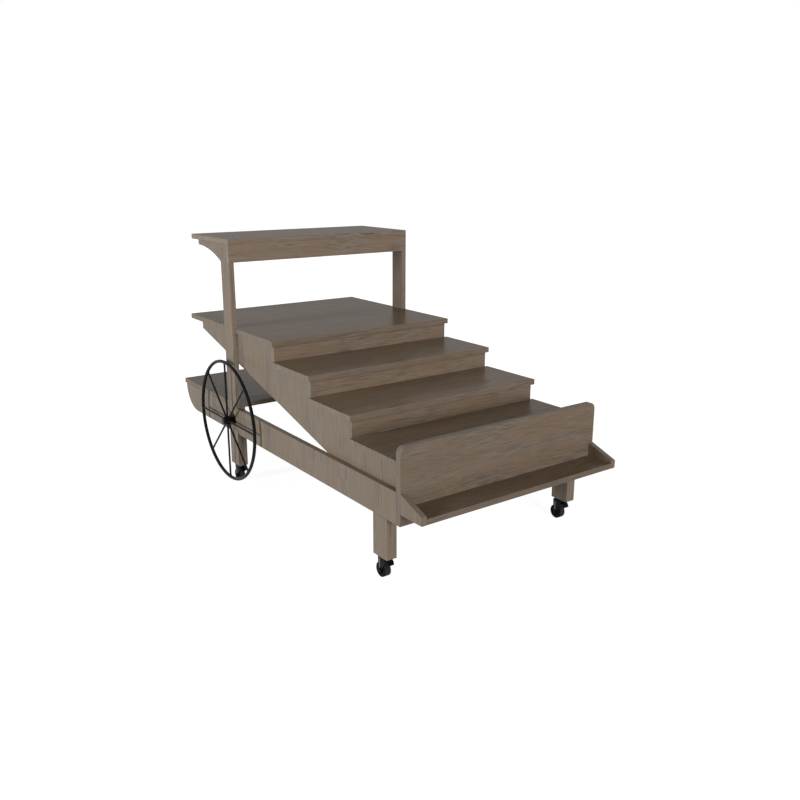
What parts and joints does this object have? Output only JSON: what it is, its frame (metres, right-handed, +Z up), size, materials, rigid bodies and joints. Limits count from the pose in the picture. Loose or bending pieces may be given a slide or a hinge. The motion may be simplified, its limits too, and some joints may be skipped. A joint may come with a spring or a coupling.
{
  "type": "produce display cart",
  "caption": "Stepped wooden produce display cart with a front tray, a lower and a raised rear shelf, braked swivel casters and large spoked side wheels.",
  "frame": {"origin": "on the floor under the casters, in the middle of the cart's length and width", "axes": "+X to the right and +Y to the rear for someone who faces the cart's front, +Z up"},
  "size_m": [1.1986, 2.242, 1.274],
  "materials": {
    "oak_look_board": "grey-brown oak-look laminate on board, satin",
    "black_coated_steel": "black powder coat, satin",
    "zinc_plated_steel": "zinc plated",
    "black_nylon": "moulded, matte",
    "black_rubber": "matte"
  },
  "bodies": {
    "cart": {"cart_axle_left": "black_coated_steel", "cart_axle_right": "black_coated_steel", "caster_plate_front_left": "black_coated_steel", "caster_plate_front_right": "black_coated_steel", "caster_plate_rear_left": "black_coated_steel", "caster_plate_rear_right": "black_coated_steel", "caster_screws": "zinc_plated_steel", "deck_bearer": "oak_look_board", "front_board": "oak_look_board", "front_leg_block_left": "oak_look_board", "front_leg_block_right": "oak_look_board", "front_leg_left": "oak_look_board", "front_leg_right": "oak_look_board", "lower_shelf": "oak_look_board", "rear_cross_rail": "oak_look_board", "rear_leg_block_left": "oak_look_board", "rear_leg_block_right": "oak_look_board", "rear_post_left": "oak_look_board", "rear_post_right": "oak_look_board", "riser_lower": "oak_look_board", "riser_middle": "oak_look_board", "riser_upper": "oak_look_board", "side_rail_left": "oak_look_board", "side_rail_right": "oak_look_board", "side_screws": "zinc_plated_steel", "stringer_left": "oak_look_board", "stringer_right": "oak_look_board", "top_deck": "oak_look_board", "top_fascia": "oak_look_board", "top_shelf": "oak_look_board", "tray_cheek_left": "oak_look_board", "tray_cheek_right": "oak_look_board", "tray_floor": "oak_look_board", "tread_lower": "oak_look_board", "tread_middle": "oak_look_board", "tread_upper": "oak_look_board"},
    "front_left_swivel": {"caster_fork_front_left": "black_coated_steel", "caster_pins_front_left": "zinc_plated_steel"},
    "front_left_wheel": {"caster_wheel_front_left": "black_nylon", "caster_tyre_front_left": "black_rubber"},
    "front_left_pedal": {"brake_pedal_front_left": "black_nylon"},
    "front_right_swivel": {"caster_fork_front_right": "black_coated_steel", "caster_pins_front_right": "zinc_plated_steel"},
    "front_right_wheel": {"caster_wheel_front_right": "black_nylon", "caster_tyre_front_right": "black_rubber"},
    "front_right_pedal": {"brake_pedal_front_right": "black_nylon"},
    "rear_left_swivel": {"caster_fork_rear_left": "black_coated_steel", "caster_pins_rear_left": "zinc_plated_steel"},
    "rear_left_wheel": {"caster_wheel_rear_left": "black_nylon", "caster_tyre_rear_left": "black_rubber"},
    "rear_left_pedal": {"brake_pedal_rear_left": "black_nylon"},
    "rear_right_swivel": {"caster_fork_rear_right": "black_coated_steel", "caster_pins_rear_right": "zinc_plated_steel"},
    "rear_right_wheel": {"caster_wheel_rear_right": "black_nylon", "caster_tyre_rear_right": "black_rubber"},
    "rear_right_pedal": {"brake_pedal_rear_right": "black_nylon"},
    "cart_wheel_left": {"cart_wheel_rim_left": "black_coated_steel", "cart_wheel_spokes_left": "black_coated_steel"},
    "cart_wheel_right": {"cart_wheel_rim_right": "black_coated_steel", "cart_wheel_spokes_right": "black_coated_steel"}
  },
  "joints": [
    {"name": "front_left_swivel_turn", "type": "hinge", "parent": "cart", "child": "front_left_swivel", "pos_m": [-0.508, -0.848, 0.0957], "axis": [0, 0, 1], "continuous": true},
    {"name": "front_left_wheel_roll", "type": "hinge", "parent": "front_left_swivel", "child": "front_left_wheel", "pos_m": [-0.508, -0.828, 0.0325], "axis": [1, 0, 0], "continuous": true},
    {"name": "front_left_brake_press", "type": "hinge", "parent": "front_left_swivel", "child": "front_left_pedal", "pos_m": [-0.508, -0.856, 0.0812], "axis": [1, 0, 0], "range_deg": [0, 15]},
    {"name": "front_right_swivel_turn", "type": "hinge", "parent": "cart", "child": "front_right_swivel", "pos_m": [0.508, -0.848, 0.0957], "axis": [0, 0, 1], "continuous": true},
    {"name": "front_right_wheel_roll", "type": "hinge", "parent": "front_right_swivel", "child": "front_right_wheel", "pos_m": [0.508, -0.828, 0.0325], "axis": [1, 0, 0], "continuous": true},
    {"name": "front_right_brake_press", "type": "hinge", "parent": "front_right_swivel", "child": "front_right_pedal", "pos_m": [0.508, -0.856, 0.0812], "axis": [1, 0, 0], "range_deg": [0, 15]},
    {"name": "rear_left_swivel_turn", "type": "hinge", "parent": "cart", "child": "rear_left_swivel", "pos_m": [-0.508, 0.492, 0.0957], "axis": [0, 0, 1], "continuous": true},
    {"name": "rear_left_wheel_roll", "type": "hinge", "parent": "rear_left_swivel", "child": "rear_left_wheel", "pos_m": [-0.508, 0.512, 0.0325], "axis": [1, 0, 0], "continuous": true},
    {"name": "rear_left_brake_press", "type": "hinge", "parent": "rear_left_swivel", "child": "rear_left_pedal", "pos_m": [-0.508, 0.484, 0.0812], "axis": [1, 0, 0], "range_deg": [0, 15]},
    {"name": "rear_right_swivel_turn", "type": "hinge", "parent": "cart", "child": "rear_right_swivel", "pos_m": [0.508, 0.492, 0.0957], "axis": [0, 0, 1], "continuous": true},
    {"name": "rear_right_wheel_roll", "type": "hinge", "parent": "rear_right_swivel", "child": "rear_right_wheel", "pos_m": [0.508, 0.512, 0.0325], "axis": [1, 0, 0], "continuous": true},
    {"name": "rear_right_brake_press", "type": "hinge", "parent": "rear_right_swivel", "child": "rear_right_pedal", "pos_m": [0.508, 0.484, 0.0812], "axis": [1, 0, 0], "range_deg": [0, 15]},
    {"name": "left_cart_wheel_turn", "type": "hinge", "parent": "cart", "child": "cart_wheel_left", "pos_m": [-0.57295, 0.4885, 0.349], "axis": [1, 0, 0], "continuous": true},
    {"name": "right_cart_wheel_turn", "type": "hinge", "parent": "cart", "child": "cart_wheel_right", "pos_m": [0.57295, 0.4885, 0.349], "axis": [1, 0, 0], "continuous": true}
  ]
}
